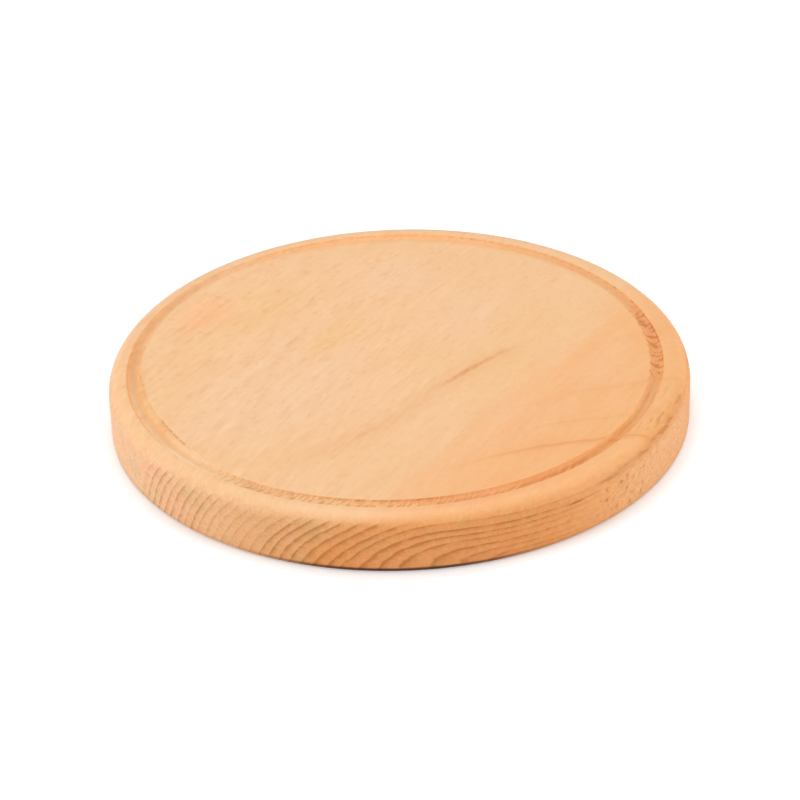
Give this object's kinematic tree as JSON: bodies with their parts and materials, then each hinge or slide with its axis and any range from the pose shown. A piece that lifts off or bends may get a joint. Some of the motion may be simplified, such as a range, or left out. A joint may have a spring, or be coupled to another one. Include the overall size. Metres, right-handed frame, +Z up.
{
  "type": "round cutting board",
  "caption": "Round solid beech cutting board with a flat top, a shallow juice groove near the rim and a rounded upper edge.",
  "frame": {"origin": "middle of the flat underside, on the surface that the board rests on", "axes": "+Z up through the board's thickness, -Y towards the viewer of the picture, +X to the viewer's right"},
  "size_m": [0.25, 0.25, 0.025],
  "materials": {
    "beech": "fine sanded, thinly oiled, satin"
  },
  "bodies": {
    "root": {"board": "beech"}
  },
  "joints": []
}
